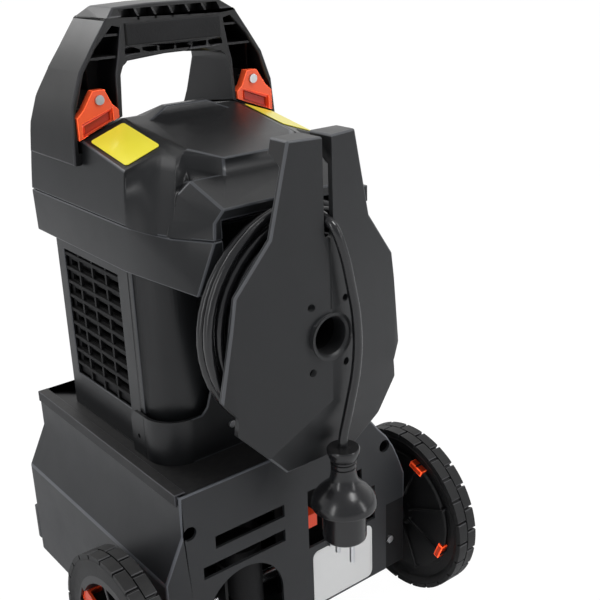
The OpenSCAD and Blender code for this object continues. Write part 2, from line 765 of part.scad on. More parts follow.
module pressure_switch() {
  color([0.12, 0.12, 0.13]) box([-26, 10.2, 136], [8, 42, 182]);
}
module water_inlet() {
  color([0.78, 0.62, 0.3]) difference() {
    union() {
      ycyl(12, -169.2, -150, 45, 128);
      ycyl(16.5, -162.9, -155, 45, 128);
      ycyl(9, -150, -128, 45, 128);
      for (y = [-168:2.4:-164]) ycyl(12.6, y, y + 1.2, 45, 128);
    }
    ycyl(7, -175, -120, 45, 128);
    ycyl(9.4, -170, -158, 45, 128);
  }
}
module water_outlet() {
  color([0.78, 0.62, 0.3]) difference() {
    union() {
      ycyl(13, -169.2, -150, -45, 128);
      ycyl(16.5, -162.9, -155, -45, 128);
      ycyl(8, -150, -128, -45, 128);
      for (y = [-168:2.4:-164]) ycyl(13.6, y, y + 1.2, -45, 128);
    }
    ycyl(4, -175, -120, -45, 128);
    ycyl(9, -170, -160, -45, 128);
  }
}
function lerp(a, b, t) = a + (b - a) * t;
function bez(p, t) = lerp(lerp(lerp(p[0], p[1], t), lerp(p[1], p[2], t), t),
  lerp(lerp(p[1], p[2], t), lerp(p[2], p[3], t), t), t);
function unit(v) = v / norm(v);
// one side direction per ring, carried along the line so that the tube never twists
function carry(n, t) = unit(n - (n * t) * t);
function tangents(p) = [for (i = [0:len(p) - 1]) unit(p[min(i + 1, len(p) - 1)] - p[max(i - 1, 0)])];
function normals(t, i, n) = i >= len(t) ? [] : concat([carry(n, t[i])], normals(t, i + 1, carry(n, t[i])));
module tube_along(p, r, sides, n0) {
  t = tangents(p);
  n = normals(t, 0, n0);
  pts = [for (i = [0:len(p) - 1], j = [0:sides - 1])
    p[i] + r * cos(360 * j / sides) * n[i] + r * sin(360 * j / sides) * cross(t[i], n[i])];
  walls = [for (i = [0:len(p) - 2], j = [0:sides - 1])
    [i * sides + j, i * sides + (j + 1) % sides, (i + 1) * sides + (j + 1) % sides, (i + 1) * sides + j]];
  ends = [[for (j = [sides - 1:-1:0]) j], [for (j = [0:sides - 1]) (len(p) - 1) * sides + j]];
  sides_in = [for (f = concat(walls, ends)) [for (k = [len(f) - 1:-1:0]) f[k]]];
  polyhedron(points = pts, faces = sides_in, convexity = 8);
}
module inlet_hose() {
  bend = [[45, -127.8, 128], [45, -104, 128], [25, -108, 118], [25, -80.2, 118]];
  color([0.12, 0.12, 0.13]) tube_along([for (i = [0:14]) bez(bend, i / 14)], 8, 12, [0, 0, 1]);
}
module outlet_pipe() {
  bend = [[-45, -127.8, 128], [-45, -104, 128], [-25, -108, 118], [-25, -80.2, 118]];
  color([0.7, 0.71, 0.73]) tube_along([for (i = [0:14]) bez(bend, i / 14)], 6, 12, [0, 0, 1]);
}
module detergent_tank() {
  color([0.82, 0.82, 0.78]) difference() {
    union() {
      box([-124, -122, 72], [-66, 40, 146]);
      box([-112, -156, 72], [-66, -122, 146]);
      zcyl(15, 145, 238, -78, -144 + 2);
    }
    box([-121, -119, 75], [-69, 37, 143]);
    box([-109, -153, 75], [-69, -118, 143]);
    zcyl(12, 140, 240, -78, -142);
  }
}
module tank_cap() {
  color([0.86, 0.2, 0.08]) translate([-78, -142, 0]) difference() {
    union() {
      zcyl(19, 229, 245, 0, 0);
      for (a = [0:20:359]) rotate([0, 0, a]) box([18, -1.6, 230], [19.8, 1.6, 244]);
      box([-14, -2.5, 244], [14, 2.5, 249]);
    }
    zcyl(15.08, 228, 241, 0, 0);
  }
}
module suction_tube() {
  bend = [[-65.6, -40, 110], [-52, -40, 110], [-50, -34, 120], [-34.4, -34, 120]];
  color([0.75, 0.77, 0.78]) tube_along([for (i = [0:12]) bez(bend, i / 12)], 3.5, 10, [0, 0, 1]);
}
module rating_plate() {
  color([0.9, 0.9, 0.9]) rearview(base_rear + 0.05, base_rear + 0.55)
    polygon([[-19, 54], [-15, 50], [-90, 50],
    [-94, 54], [-94, 106], [-90, 110], [-23, 110], [-19, 106]]);
}
module rear_clip() {
  color([0.86, 0.2, 0.08]) union() {
    box([-30, base_rear - 37.9, 134], [-18, base_rear - 6, 148]);
    box([-34, base_rear - 37.9, 130], [-14, base_rear - 34, 152]);
  }
}
module lance_holder() {
  // snap clip on the band above an open cup on the rim of the deck
  color([0.12, 0.12, 0.13]) mirror([1, 0, 0]) difference() {
    union() {
      box([103.4, 4, 418], [107, 34, 440]);
      box([104, 26, 422], [136, 60, 437]);
      box([108, lance_y - 15, base_top + 2.1], [134, lance_y + 15, 236]);
      zcyl(15, base_top + 2.1, 262, lance_x, lance_y);
    }
    zcyl(14, 410, 450, lance_x, lance_y);
    box([lance_x, lance_y - 10, 410], [140, lance_y + 10, 450]);
    zcyl(lance_r, 236, 270, lance_x, lance_y);
  }
}
module hose_hook() {
  color([0.12, 0.12, 0.13]) difference() {
    union() {
      box([-48, tower_front - 3.2, 300], [48, tower_front - 0.2, 350]);
      both() box([30, tower_front - 30, 318], [44, tower_front - 3, 326]);
      both() box([30, tower_front - 34, 318], [44, tower_front - 29, 344]);
    }
    for (x = [-12, 12]) ycyl(2.2, tower_front - 5, tower_front, x, 325);
  }
}

// ---------------------------------------------------------------- cord
drum_z = 364;
drum_r = 54;
in_r = drum_r + cord_r + 0.4;
col_a = 123.5;
start_deg = 270;
total_deg = 3045;
// the cord spirals in on the machine side, steps across in half a turn and spirals out again
in_deg = 1440;
step_deg = 180;
function wind_r(a) = in_r + lay * (a < in_deg ? in_deg - a : max(0, a - in_deg - step_deg)) / 360;
function wind_y(a) = col_a + lay_y * min(1, max(0, (a - in_deg) / step_deg));
function wound(a) = [wind_r(a) * cos(start_deg + a), wind_y(a), drum_z + wind_r(a) * sin(start_deg + a)];
coil_line = [for (i = [0:total_deg / 15]) wound(i * 15)];
// least distance between tube walls of turns lying side by side
self_gap = min([for (i = [0:len(coil_line) - 1], j = [i + 12:1:min(i + 60, len(coil_line) - 1)])
  norm(coil_line[i] - coil_line[j])]) - 2 * cord_r;
echo(self_gap = self_gap, turns = total_deg / 360);
out_z = drum_z - wind_r(0);
lead_line = concat([[-14, 95.1, 262]], [for (i = [0:10]) bez([[-14, 103.5, 262], [-14, 118, 262],
  [-34, col_a, out_z], [0, col_a, out_z]], i / 11)]);
exit_dir = unit([-sin(start_deg + total_deg), 0, cos(start_deg + total_deg)]);
exit_line = [wound(total_deg) + 2 * cord_r * exit_dir];
module cord_coil() {
  color([0.07, 0.07, 0.07]) {
    tube_along(concat(lead_line, coil_line, exit_line), cord_r, 6, [0, 0, 1]);
  }
}
coil_end = exit_line[0];
tail_pts = [coil_end + 2.5 * exit_dir, [7.5, 139, 459.5], [1.5, 151, 457], [0, 162, 453.6],
  [-1.5, 171.6, 446],
  [-8.4, 174, 423.6], [-14.6, 174, 396.7], [-18.8, 174.2, 374], [-20.4, 174.2, 347], [-18.4, 173.5, 321],
  [-13.4, 172, 295.6], [-8.2, 170.6, 272], [-6.5, 170, 262]];
function spline(p, i, t) = let (a = p[max(i - 1, 0)], b = p[i], c = p[min(i + 1, len(p) - 1)],
  d = p[min(i + 2, len(p) - 1)]) 0.5 * ((2 * b) + (c - a) * t + (2 * a - 5 * b + 4 * c - d) * t * t
  + (3 * b - a - 3 * c + d) * t * t * t);
tail_line = concat([coil_end + 0.05 * exit_dir],
  [for (i = [0:len(tail_pts) - 2], s = [0:3]) spline(tail_pts, i, s / 4)],
  [tail_pts[len(tail_pts) - 1], [-6.5, 170, 257.1]]);
module cord_tail() {
  color([0.07, 0.07, 0.07]) tube_along(tail_line, cord_r, 10, [0, 0, 1]);
}
module plug_body() {
  color([0.07, 0.07, 0.07]) translate([-6.5, 170, 0]) difference() {
    union() {
      rotate_extrude($fn = 64) polygon([[0, 165], [18.5, 165], [19.5, 167], [19.5, 197], [27.6, 198],
        [28.8, 200.6], [28.3, 204.4], [26.4, 209], [22.6, 213.6], [18, 217.4], [14.4, 221.4], [12.3, 226],
        [11.2, 231], [11, 236], [10, 236.6], [10, 238.4], [11.1, 239], [11.1, 241], [10, 241.6],
        [10, 243.4], [11.4, 244], [13.4, 249], [14.3, 251.4], [14.3, 255], [13.3, 256.2], [5.4, 256.2],
        [5.4, 257], [0, 257]]);
    }
    // side earth contacts and the lead-in
    for (s = [-1, 1]) translate([s * 19.5 - 2, -3, 164]) cube([4, 6, 22]);
  }
}
module plug_pins() {
  color([0.8, 0.8, 0.78]) translate([-6.5, 170, 0]) {
    for (y = [-9.5, 9.5]) zcyl(2.4, 146, 164.95, 0, y);
    for (s = [-1, 1]) translate([s * 18.2 - 0.6, -2.4, 166]) cube([1.2, 4.8, 19]);
  }
}

base_shell();
deck();
base_rear_ribs();
base_floor();
front_bumper();
feet();
axle();
axle_brackets();
axle_caps();
tyre_left();
tyre_right();
rim_left();
rim_right();
hub_inserts_left();
hub_inserts_right();
tower_shell();
tower_band();
top_cover();
rear_collar();
side_vents();
front_panel();
panel_dial();
switch_knob();
shoulder_labels();
rating_plate();
cord_drum();
cord_plate();
plate_screws();
cover_screws();
handle_frame();
handle_grip();
handle_guides();
latch_plates();
latch_screws();
latch_button_left();
latch_button_right();
motor_housing();
motor_shaft();
motor_fan();
gear_housing();
wobble_plate();
pistons();
pump_head();
pressure_switch();
water_inlet();
water_outlet();
inlet_hose();
outlet_pipe();
detergent_tank();
tank_cap();
suction_tube();
switch_box();
rear_clip();
lance_holder();
hose_hook();
cord_gland();
cord_coil();
cord_tail();
plug_body();
plug_pins();
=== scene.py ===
# %% [markdown]
# # An upright pressure washer
# A pressure washer pumps tap water to high pressure for a spray lance. This one stands upright on two
# transport wheels, has a bow handle that draws out, and keeps its mains cord wound behind a rear plate.
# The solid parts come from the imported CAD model. This lesson dresses them: it sets up the camera and the
# light, lays the cord, mixes the plastics and metals, rounds the edges of the mouldings, and turns the
# plug anew.

# %% Load the frame
import json
import math

import bmesh
import bpy
from mathutils import Matrix, Vector


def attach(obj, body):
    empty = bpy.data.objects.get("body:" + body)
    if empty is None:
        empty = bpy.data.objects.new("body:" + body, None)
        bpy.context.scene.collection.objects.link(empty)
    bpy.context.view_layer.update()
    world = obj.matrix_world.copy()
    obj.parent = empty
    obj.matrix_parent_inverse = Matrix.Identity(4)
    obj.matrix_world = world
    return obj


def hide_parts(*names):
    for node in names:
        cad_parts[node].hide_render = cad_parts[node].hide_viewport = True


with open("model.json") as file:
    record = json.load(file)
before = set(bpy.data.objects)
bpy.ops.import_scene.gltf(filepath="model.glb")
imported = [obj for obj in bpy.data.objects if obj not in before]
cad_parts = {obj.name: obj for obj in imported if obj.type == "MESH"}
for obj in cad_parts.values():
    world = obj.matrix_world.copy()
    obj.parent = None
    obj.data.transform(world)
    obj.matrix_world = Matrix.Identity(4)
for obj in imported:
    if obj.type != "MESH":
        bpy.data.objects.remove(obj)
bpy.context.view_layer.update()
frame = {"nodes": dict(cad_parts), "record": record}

MM = 0.001
nodes = frame["nodes"]

# %% [markdown]
# ## Camera
# The camera stands behind the machine, a little to its left and above it, so the plate with the cord
# faces us. A real camera is described by where it is and by three directions: its right, its up and its
# view. Writing those three as the columns of a matrix is steadier than typing angles, because nothing is
# rounded.

# %% Place the camera
camera_data = bpy.data.cameras.new("camera")
camera_data.lens = 58.4
camera_data.sensor_width = 36.0
camera_data.clip_start = 0.05
camera = bpy.data.objects.new("camera", camera_data)
bpy.context.scene.collection.objects.link(camera)
right = Vector((-0.7815, 0.6230, -0.0326)).normalized()
ahead = Vector((-0.5735, -0.7380, -0.3556)).normalized()
up = right.cross(ahead).normalized()
turn = Matrix((right, up, -ahead)).transposed()
camera.matrix_world = Matrix.Translation((0.4599, 0.7181, 0.6619)) @ turn.to_4x4()
bpy.context.scene.camera = camera
print("camera up:", [round(v, 4) for v in up])

# %% [markdown]
# ## Floor and light
# A product picture has a white ground with only a soft shadow. The floor is a large plane whose material
# looks white to the camera and to reflections, yet still takes the shadow under the wheels. A broad
# lamp above, two tall strips that draw upright highlights on the rounded walls, and one lamp behind for
# the rims light the machine.

# %% Floor
def new_mesh_object(name, bm):
    """Turns a bmesh into an object that sits at the origin."""
    mesh = bpy.data.meshes.new(name)
    bm.to_mesh(mesh)
    bm.free()
    made = bpy.data.objects.new(name, mesh)
    bpy.context.scene.collection.objects.link(made)
    return made


floor_bm = bmesh.new()
bmesh.ops.create_grid(floor_bm, x_segments=1, y_segments=1, size=30.0)
floor = new_mesh_object("floor", floor_bm)
floor.location.z = -0.0006


FLOOR_SEEN_WHITE = 0.94
FLOOR_GLOW = 1.05
floor_mat = bpy.data.materials.new("floor_white")
floor_mat.use_nodes = True
tree = floor_mat.node_tree
floor_bsdf = tree.nodes["Principled BSDF"]
floor_bsdf.inputs["Base Color"].default_value = (0.93, 0.93, 0.93, 1)
floor_bsdf.inputs["Roughness"].default_value = 0.9
floor_bsdf.inputs["Specular IOR Level"].default_value = 0.1
glow = tree.nodes.new("ShaderNodeEmission")
glow.inputs["Strength"].default_value = FLOOR_GLOW
ray = tree.nodes.new("ShaderNodeLightPath")
part = tree.nodes.new("ShaderNodeMath")
part.operation = "MULTIPLY"
part.inputs[1].default_value = FLOOR_SEEN_WHITE
blend = tree.nodes.new("ShaderNodeMixShader")
tree.links.new(ray.outputs["Is Camera Ray"], part.inputs[0])
tree.links.new(part.outputs[0], blend.inputs["Fac"])
tree.links.new(floor_bsdf.outputs[0], blend.inputs[1])
tree.links.new(glow.outputs[0], blend.inputs[2])
tree.links.new(blend.outputs[0], tree.nodes["Material Output"].inputs["Surface"])
floor.data.materials.append(floor_mat)
print("floor laid")

# %% World and lamps
world = bpy.data.worlds.new("studio")
bpy.context.scene.world = world
world.use_nodes = True
sky = world.node_tree
ambient = sky.nodes["Background"]
ambient.inputs["Color"].default_value = (0.94, 0.96, 1.0, 1)
ambient.inputs["Strength"].default_value = 0.42
backdrop = sky.nodes.new("ShaderNodeBackground")
backdrop.inputs["Color"].default_value = (1, 1, 1, 1)
backdrop.inputs["Strength"].default_value = 1.0
ray = sky.nodes.new("ShaderNodeLightPath")
pick = sky.nodes.new("ShaderNodeMixShader")
seen = [sky.nodes.new("ShaderNodeMath") for _ in range(2)]
for step in seen:
    step.operation = "MAXIMUM"
# polished faces mirror the white cove in front of them and the dimmer room behind the camera
heading = sky.nodes.new("ShaderNodeTexCoord")
toward = sky.nodes.new("ShaderNodeVectorMath")
toward.operation = "DOT_PRODUCT"
toward.inputs[1].default_value = (0.42, 0.78, 0.46)
room = sky.nodes.new("ShaderNodeMapRange")
room.inputs["From Min"].default_value, room.inputs["From Max"].default_value = -0.4, 0.4
room.inputs["To Min"].default_value, room.inputs["To Max"].default_value = 1.0, 0.05
gloss = sky.nodes.new("ShaderNodeMath")
gloss.operation = "MULTIPLY"
sky.links.new(heading.outputs["Generated"], toward.inputs[0])
sky.links.new(toward.outputs["Value"], room.inputs["Value"])
sky.links.new(room.outputs[0], gloss.inputs[0])
sky.links.new(ray.outputs["Is Glossy Ray"], gloss.inputs[1])
sky.links.new(ray.outputs["Is Camera Ray"], seen[0].inputs[0])
sky.links.new(gloss.outputs[0], seen[0].inputs[1])
sky.links.new(seen[0].outputs[0], seen[1].inputs[0])
sky.links.new(ray.outputs["Is Transmission Ray"], seen[1].inputs[1])
sky.links.new(seen[1].outputs[0], pick.inputs["Fac"])
sky.links.new(ambient.outputs[0], pick.inputs[1])
sky.links.new(backdrop.outputs[0], pick.inputs[2])
sky.links.new(pick.outputs[0], sky.nodes["World Output"].inputs["Surface"])


def softbox(name, place, aim, width, height, power):
    """A flat lamp that shines from one point towards another."""
    lamp = bpy.data.lights.new(name, "AREA")
    lamp.shape = "RECTANGLE"
    lamp.size, lamp.size_y = width, height
    lamp.energy = power
    box = bpy.data.objects.new(name, lamp)
    box.location = place
    box.rotation_euler = (Vector(aim) - Vector(place)).to_track_quat("-Z", "Y").to_euler()
    bpy.context.scene.collection.objects.link(box)


softbox("key_light", (-0.5, 1.2, 2.4), (0, 0, 0.3), 0.9, 0.9, 24)
softbox("left_strip", (1.9, 0.5, 0.9), (0, 0, 0.35), 0.3, 1.6, 8)
softbox("right_strip", (-1.1, 2.0, 0.9), (0, 0, 0.35), 0.3, 1.6, 7)
softbox("rim_light", (0.5, -1.6, 1.9), (0, 0, 0.4), 1.2, 1.2, 14)
bpy.context.scene.view_settings.view_transform = "Standard"

# %% [markdown]
# ## The cord's route
# The mains cord leaves a gland low on the machine, runs in behind the plate, winds inwards round the drum
# in one layer, steps across and winds outwards again in a second layer. Then it leaves through the slot
# at the top of the plate and hangs in front of it, down to the plug. It is one unbroken line in
# millimetres. The winding and the lead follow the CAD source's formulas, and the tail follows the same
# listed points.

# %% Points of the cord
CORD_R = 4.2
LAY, LAY_Y = 9.9, 9.8
DRUM_Z, IN_R, FIRST_LAYER_Y = 364, 54 + CORD_R + 0.4, 123.5
START, TURNED, TURNED_IN, STEP = 270, 3045, 1440, 180


def blend_points(a, b, t):
    return [a[k] + (b[k] - a[k]) * t for k in range(3)]


def bezier(p, t):
    a, b, c = (blend_points(p[k], p[k + 1], t) for k in range(3))
    return blend_points(blend_points(a, b, t), blend_points(b, c, t), t)


def wound(a):
    """The cord's centre after it has been wound through the angle a."""
    out = TURNED_IN - a if a < TURNED_IN else max(0, a - TURNED_IN - STEP)
    r = IN_R + LAY * out / 360
    y = FIRST_LAYER_Y + LAY_Y * min(1, max(0, (a - TURNED_IN) / STEP))
    angle = math.radians(START + a)
    return [r * math.cos(angle), y, DRUM_Z + r * math.sin(angle)]


def spline(points, steps):
    """A smooth line through the points."""
    line = []
    for i in range(len(points) - 1):
        a, b = points[max(i - 1, 0)], points[i]
        c, d = points[i + 1], points[min(i + 2, len(points) - 1)]
        for s in range(steps):
            t = s / steps
            line.append([0.5 * (2 * b[k] + (c[k] - a[k]) * t
                                + (2 * a[k] - 5 * b[k] + 4 * c[k] - d[k]) * t * t
                                + (3 * b[k] - a[k] - 3 * c[k] + d[k]) * t ** 3) for k in range(3)])
    return line + [list(points[-1])]


out_z = wound(0)[2]
lead_in = [[-14, 95.1, 262]] + [bezier([[-14, 103.5, 262], [-14, 118, 262], [-34, FIRST_LAYER_Y, out_z],
                                        [0, FIRST_LAYER_Y, out_z]], i / 11) for i in range(11)]
winding = [wound(i * 7.5) for i in range(int(TURNED / 7.5) + 1)]
last = math.radians(START + TURNED)
leave = [-math.sin(last), 0, math.cos(last)]
coil_end = [winding[-1][k] + 2 * CORD_R * leave[k] for k in range(3)]
start_of_tail = [coil_end[k] + 2.5 * leave[k] for k in range(3)]
tail = [start_of_tail, [7.5, 139, 459.5], [1.5, 151, 457], [0, 162, 453.6], [-1.5, 171.6, 446],
        [-8.4, 174, 423.6], [-14.6, 174, 396.7], [-18.8, 174.2, 374], [-20.4, 174.2, 347],
        [-18.4, 173.5, 321], [-13.4, 172, 295.6], [-8.2, 170.6, 272], [-6.5, 170, 262]]
plug_entry = [-6.5, 170, 257.1]
cord_line = [Vector(p) * MM for p in lead_in + winding + [coil_end] + spline(tail, 5) + [plug_entry]]

# %% [markdown]
# ## Finishes
# Nearly all of the machine is injection-moulded plastic: dark, a little satin, with a fine spark-eroded
# grain and a colour that is never quite even. Metal screws, an orange accent colour, a rubber cord and a
# plain printed label make up the rest. Effects that several finishes share are made once, as node groups
# with named sockets, and each material sets its own amounts.

# %% Shared effects
def socket(group, name, kind, way, value=None):
    made = group.interface.new_socket(name=name, in_out=way, socket_type="NodeSocket" + kind)
    if value is not None:
        made.default_value = value


def noise_node(tree, scale, detail, rough=0.55):
    made = tree.nodes.new("ShaderNodeTexNoise")
    made.inputs["Scale"].default_value = scale
    made.inputs["Detail"].default_value = detail
    made.inputs["Roughness"].default_value = rough
    return made


# painted highlight: how many times its own colour a rounded edge gains
EDGE_HIGHLIGHT_GAIN = 5.0
EDGE_MARK = "rounded_edge"


def drift_dust_highlight_group():
    """Colour that drifts a little, is paler on rounded edges and gathers dust on faces that look up.

    The paler edge stands in for the bright line that a broader round would catch from the lamps.
    """
    group = bpy.data.node_groups.new("drift_dust_and_edge_highlight", "ShaderNodeTree")
    socket(group, "Colour", "Color", "INPUT", (0.03, 0.03, 0.03, 1))
    socket(group, "Drift", "Float", "INPUT", 0.2)
    socket(group, "Dust", "Float", "INPUT", 0.03)
    socket(group, "Colour", "Color", "OUTPUT")
    links, new = group.links, group.nodes.new
    read, give = new("NodeGroupInput"), new("NodeGroupOutput")
    where = new("ShaderNodeTexCoord")
    cloud = noise_node(group, 9, 5)
    fine = noise_node(group, 160, 3)
    sway = new("ShaderNodeMapRange")
    sway.inputs["From Min"].default_value, sway.inputs["From Max"].default_value = 0.3, 0.7
    sway.inputs["To Min"].default_value, sway.inputs["To Max"].default_value = -0.5, 0.5
    gain = new("ShaderNodeMath")
    gain.operation = "MULTIPLY_ADD"
    gain.inputs[2].default_value = 1.0
    tint = new("ShaderNodeVectorMath")
    tint.operation = "SCALE"
    facing, split = new("ShaderNodeNewGeometry"), new("ShaderNodeSeparateXYZ")
    lift = new("ShaderNodeMath")
    lift.operation = "POWER"
    lift.inputs[1].default_value = 3.0
    top = new("ShaderNodeMath")
    top.operation, top.use_clamp = "MULTIPLY", True
    speck = new("ShaderNodeMath")
    speck.operation = "MULTIPLY"
    dusty = new("ShaderNodeMixRGB")
    dusty.inputs["Color2"].default_value = (0.45, 0.43, 0.40, 1)
    # painted highlight: faces marked as rounded edges have their colour raised by the edge gain
    round_edge = new("ShaderNodeAttribute")
    round_edge.attribute_name = EDGE_MARK
    paler = new("ShaderNodeMath")
    paler.operation = "MULTIPLY_ADD"
    paler.inputs[1].default_value = EDGE_HIGHLIGHT_GAIN
    links.new(where.outputs["Object"], cloud.inputs["Vector"])
    links.new(where.outputs["Object"], fine.inputs["Vector"])
    links.new(cloud.outputs["Fac"], sway.inputs["Value"])
    links.new(sway.outputs[0], gain.inputs[0])
    links.new(read.outputs["Drift"], gain.inputs[1])
    links.new(round_edge.outputs["Fac"], paler.inputs[0])
    links.new(gain.outputs[0], paler.inputs[2])
    links.new(read.outputs["Colour"], tint.inputs[0])
    links.new(paler.outputs[0], tint.inputs["Scale"])
    links.new(facing.outputs["Normal"], split.inputs[0])
    clip = new("ShaderNodeMath")
    clip.operation = "MAXIMUM"
    clip.inputs[1].default_value = 0.0
    links.new(split.outputs["Z"], clip.inputs[0])
    links.new(clip.outputs[0], lift.inputs[0])
    links.new(lift.outputs[0], top.inputs[0])
    links.new(read.outputs["Dust"], top.inputs[1])
    links.new(top.outputs[0], speck.inputs[0])
    links.new(fine.outputs["Fac"], speck.inputs[1])
    links.new(speck.outputs[0], dusty.inputs["Fac"])
    links.new(tint.outputs[0], dusty.inputs["Color1"])
    links.new(dusty.outputs[0], give.inputs["Colour"])
    return group


def grain_group():
    """Height and gloss of a moulded or cast skin: fine grain over faint waves, and smudges in the gloss."""
    group = bpy.data.node_groups.new("grain", "ShaderNodeTree")
    socket(group, "Size", "Float", "INPUT", 900.0)
    socket(group, "Gloss", "Float", "INPUT", 0.5)
    socket(group, "Smudge", "Float", "INPUT", 0.1)
    socket(group, "Height", "Float", "OUTPUT")
    socket(group, "Roughness", "Float", "OUTPUT")
    links, new = group.links, group.nodes.new
    read, give = new("NodeGroupInput"), new("NodeGroupOutput")
    where = new("ShaderNodeTexCoord")
    fine = noise_node(group, 900, 2, 0.6)
    wave = noise_node(group, 14, 2, 0.4)
    smear = noise_node(group, 26, 4, 0.6)
    both = new("ShaderNodeMath")
    both.operation = "MULTIPLY_ADD"
    both.inputs[1].default_value = 3.0
    swing = new("ShaderNodeMath")
    swing.operation = "SUBTRACT"
    swing.inputs[1].default_value = 0.5
    rough = new("ShaderNodeMath")
    rough.operation = "MULTIPLY_ADD"
    for n in (fine, wave, smear):
        links.new(where.outputs["Object"], n.inputs["Vector"])
    links.new(read.outputs["Size"], fine.inputs["Scale"])
    links.new(wave.outputs["Fac"], both.inputs[0])
    links.new(fine.outputs["Fac"], both.inputs[2])
    links.new(both.outputs[0], give.inputs["Height"])
    links.new(smear.outputs["Fac"], swing.inputs[0])
    links.new(swing.outputs[0], rough.inputs[0])
    links.new(read.outputs["Smudge"], rough.inputs[1])
    links.new(read.outputs["Gloss"], rough.inputs[2])
    links.new(rough.outputs[0], give.inputs["Roughness"])
    return group


DRIFT_DUST_HIGHLIGHT, GRAIN = drift_dust_highlight_group(), grain_group()
print("node groups:", [g.name for g in bpy.data.node_groups])

# %% One recipe for every finish
def finish(name, colour, rough, size=900, depth=0.15, drift=0.25, dust=0.03, smudge=0.15, metal=0.0,
           coat=0.0, specular=0.5, sheen=0.0):
    """A material from the shared groups: colour in linear light, grain size per metre, bump depth."""
    made = bpy.data.materials.new(name)
    made.use_nodes = True
    tree = made.node_tree
    skin = tree.nodes["Principled BSDF"]
    paint = tree.nodes.new("ShaderNodeGroup")
    paint.node_tree = DRIFT_DUST_HIGHLIGHT
    paint.inputs["Colour"].default_value = (*colour, 1)
    paint.inputs["Drift"].default_value = drift
    paint.inputs["Dust"].default_value = dust
    grain = tree.nodes.new("ShaderNodeGroup")
    grain.node_tree = GRAIN
    grain.inputs["Size"].default_value = size
    grain.inputs["Gloss"].default_value = rough
    grain.inputs["Smudge"].default_value = smudge
    bump = tree.nodes.new("ShaderNodeBump")
    bump.inputs["Strength"].default_value = depth
    bump.inputs["Distance"].default_value = 0.0004
    tree.links.new(paint.outputs["Colour"], skin.inputs["Base Color"])
    tree.links.new(grain.outputs["Roughness"], skin.inputs["Roughness"])
    tree.links.new(grain.outputs["Height"], bump.inputs["Height"])
    tree.links.new(bump.outputs["Normal"], skin.inputs["Normal"])
    skin.inputs["Metallic"].default_value = metal
    skin.inputs["Coat Weight"].default_value = coat
    skin.inputs["Specular IOR Level"].default_value = specular
    skin.inputs["Sheen Weight"].default_value = sheen
    return made


FINISHES = {
    "base_grey": finish("base_grey", (0.017, 0.018, 0.020), 0.42, specular=0.42),
    "deck_grey": finish("deck_grey", (0.010, 0.010, 0.011), 0.50, dust=0.05, specular=0.3),
    "inner_black": finish("inner_black", (0.004, 0.004, 0.0045), 0.60, specular=0.25),
    "body_black": finish("body_black", (0.009, 0.0095, 0.0105), 0.34, specular=0.42),
    "panel_black": finish("panel_black", (0.010, 0.010, 0.011), 0.36, specular=0.4),
    "plate_grey": finish("plate_grey", (0.014, 0.0145, 0.0155), 0.42, specular=0.42),
    "handle_black": finish("handle_black", (0.005, 0.005, 0.0055), 0.36, specular=0.38),
    "grip_grey": finish("grip_grey", (0.020, 0.020, 0.021), 0.80, size=420, depth=0.8, drift=0.6,
                        sheen=0.05, specular=0.2),
    "rim_black": finish("rim_black", (0.006, 0.006, 0.0065), 0.38, specular=0.35),
    "tyre_black": finish("tyre_black", (0.010, 0.010, 0.0105), 0.55, size=700, depth=0.3, specular=0.35),
    "rubber_black": finish("rubber_black", (0.010, 0.010, 0.010), 0.60, depth=0.25, specular=0.3),
    "cord_black": finish("cord_black", (0.008, 0.008, 0.009), 0.24, size=600, depth=0.08, specular=0.6),
    "plug_black": finish("plug_black", (0.016, 0.0165, 0.0185), 0.48, size=700, depth=0.12, specular=0.45),
    "accent_orange": finish("accent_orange", (0.78, 0.062, 0.014), 0.34, drift=0.12, dust=0.01),
    "latch_orange": finish("latch_orange", (0.92, 0.105, 0.030), 0.34, drift=0.10, dust=0.01),
    "latch_red": finish("latch_red", (0.42, 0.022, 0.008), 0.36, drift=0.10, dust=0.01),
    "label_yellow": finish("label_yellow", (0.97, 0.86, 0.06), 0.30, size=300, depth=0.05, drift=0.05,
                           dust=0),
    "label_cream": finish("label_cream", (0.85, 0.80, 0.66), 0.34, size=300, depth=0.05, drift=0.05),
    "dial_white": finish("dial_white", (0.78, 0.78, 0.76), 0.38, drift=0.05),
    "plate_silver": finish("plate_silver", (0.72, 0.72, 0.71), 0.36, size=400, depth=0.05, drift=0.05),
    "steel_zinc": finish("steel_zinc", (0.60, 0.61, 0.62), 0.28, depth=0.1, metal=1.0, dust=0),
    "steel_bright": finish("steel_bright", (0.55, 0.55, 0.56), 0.22, depth=0.08, metal=1.0, dust=0),
    "motor_metal": finish("motor_metal", (0.20, 0.21, 0.23), 0.45, size=500, depth=0.2),
    "cast_alloy": finish("cast_alloy", (0.50, 0.50, 0.51), 0.48, size=450, depth=0.5, metal=1.0),
    "brass_plain": finish("brass_plain", (0.62, 0.42, 0.16), 0.30, depth=0.1, metal=1.0, dust=0),
    "tank_white": finish("tank_white", (0.66, 0.66, 0.60), 0.42, size=300, depth=0.2),
    "tube_clear": finish("tube_clear", (0.50, 0.54, 0.56), 0.20, coat=0.4),
}
print("finishes:", len(FINISHES))

# %% Every CAD node gets its finish
slot_of = {row["node"]: row["material_slot"] for row in frame["record"]["subparts"]}
for name, node in nodes.items():
    node.data.materials.clear()
    node.data.materials.append(FINISHES[slot_of[name]])
for side in ("left", "right"):
    nodes["latch_button_" + side].data.materials[0] = FINISHES["latch_red"]
print("dressed", len(nodes), "nodes")

# %% [markdown]
# ## Moulded edges
# No moulding has a knife edge. Each plastic CAD solid is copied, its flat faces are joined up again, and
# the long outer edges between broad faces get a small round. Edges next to small features stay as they
# are, because a round has no room there. The faces of each round are marked, and the material paints them
# paler, a painted highlight for the bright line that a broader round would catch from the lamps.

# %% Round the edges of the mouldings
body_of = {node: body for body, held in frame["record"]["behaviour"]["bodies"].items() for node in held}


